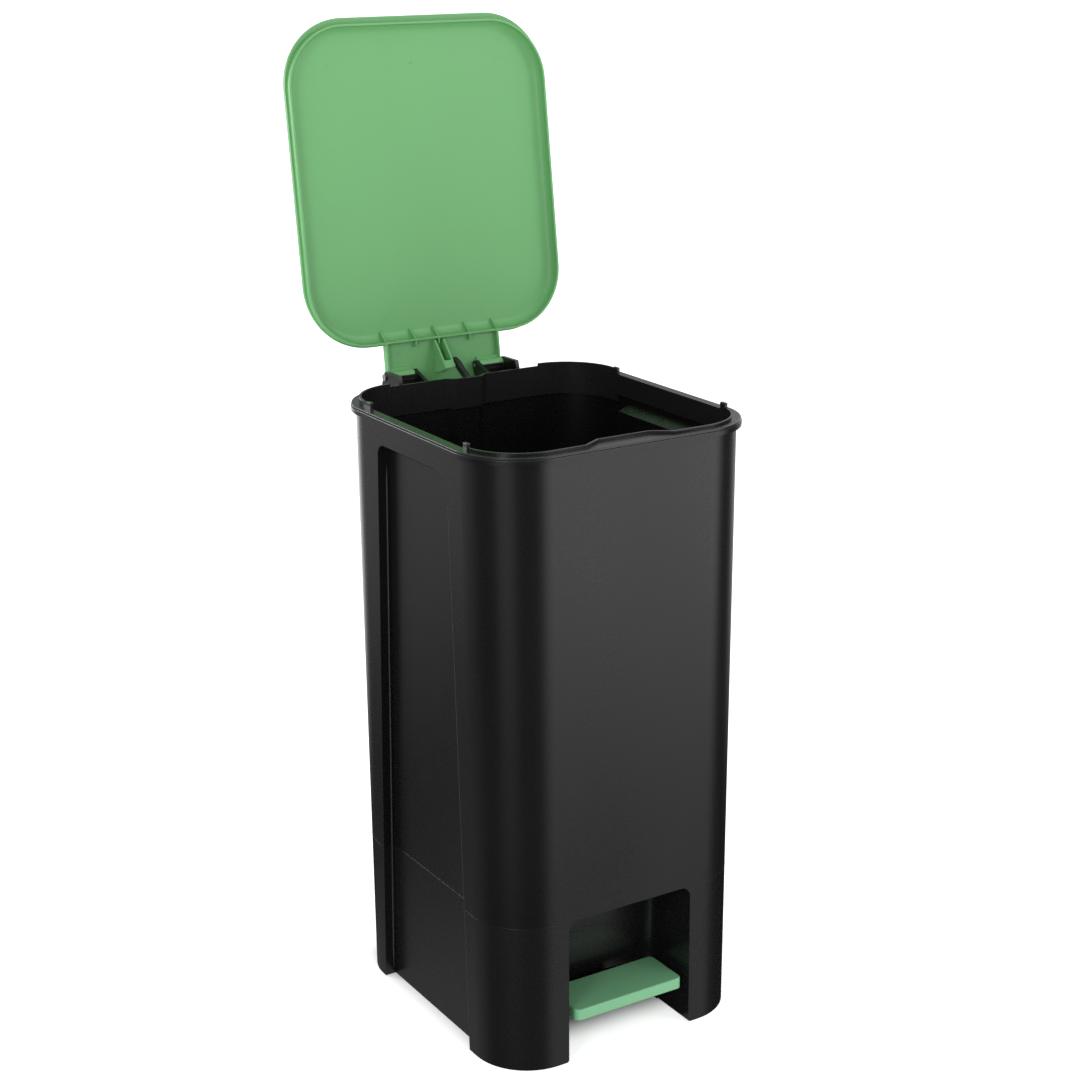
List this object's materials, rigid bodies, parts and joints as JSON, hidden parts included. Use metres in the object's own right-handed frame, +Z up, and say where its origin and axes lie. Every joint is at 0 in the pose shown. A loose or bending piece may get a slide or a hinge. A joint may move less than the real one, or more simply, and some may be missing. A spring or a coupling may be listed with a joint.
{
  "type": "pedal trash can",
  "caption": "Tall tapered pedal bin with a rounded rectangular body, lift-out bag ring, rear-hinged lid with lug and lift rod, and a front foot pedal in a niche.",
  "frame": {"origin": "on the floor, under the middle of the whole object as stored with its lid open; the middle of the casing is 46.6 mm in front of it (-Y)", "axes": "+Z up; -Y towards the pedal and the user; +X to the right of the user who faces the bin; the lid hinge runs along X at the rear"},
  "size_m": [0.2998, 0.4054, 0.9524],
  "materials": {
    "casing_black": "satin",
    "ring_black": "gloss",
    "lid_green": "satin",
    "pad_green": "satin",
    "mechanism_black": "satin",
    "pin_steel": "satin",
    "screw_steel": "satin"
  },
  "bodies": {
    "base": {"casing": "casing_black", "bag_ring": "ring_black", "hinge_block_left": "mechanism_black", "hinge_block_right": "mechanism_black", "hinge_pin_left": "pin_steel", "hinge_pin_right": "pin_steel", "hinge_block_screws": "screw_steel", "rod_guide_lower": "mechanism_black", "rod_guide_middle": "mechanism_black", "rod_guide_upper": "mechanism_black", "pedal_axle": "pin_steel", "axle_bearing_left": "mechanism_black", "axle_bearing_right": "mechanism_black", "bearing_screws": "screw_steel"},
    "lid": {"lid": "lid_green"},
    "rod": {"lift_rod": "mechanism_black"},
    "pedal": {"pedal_lever": "mechanism_black", "pedal_pad": "pad_green", "pad_screws": "screw_steel", "lever_pin": "pin_steel", "lever_pin_clip": "pin_steel"}
  },
  "joints": [
    {"name": "lid_hinge", "type": "hinge", "parent": "base", "child": "lid", "pos_m": [0, 0.13979, 0.60405], "axis": [1, 0, 0], "range_deg": [0, 98.2]},
    {"name": "rod_slide", "type": "slide", "parent": "base", "child": "rod", "axis": [0, 0, -1], "range_m": [0, 0.0209]},
    {"name": "pedal_hinge", "type": "hinge", "parent": "base", "child": "pedal", "pos_m": [0, -0.02661, 0.03], "axis": [-1, 0, 0], "range_deg": [0, 10.9]}
  ],
  "couplings": [
    {"joint": "rod_slide", "follows": "lid_hinge", "m_per_rad": 0.012105},
    {"joint": "pedal_hinge", "follows": "lid_hinge", "ratio": 0.11021}
  ]
}
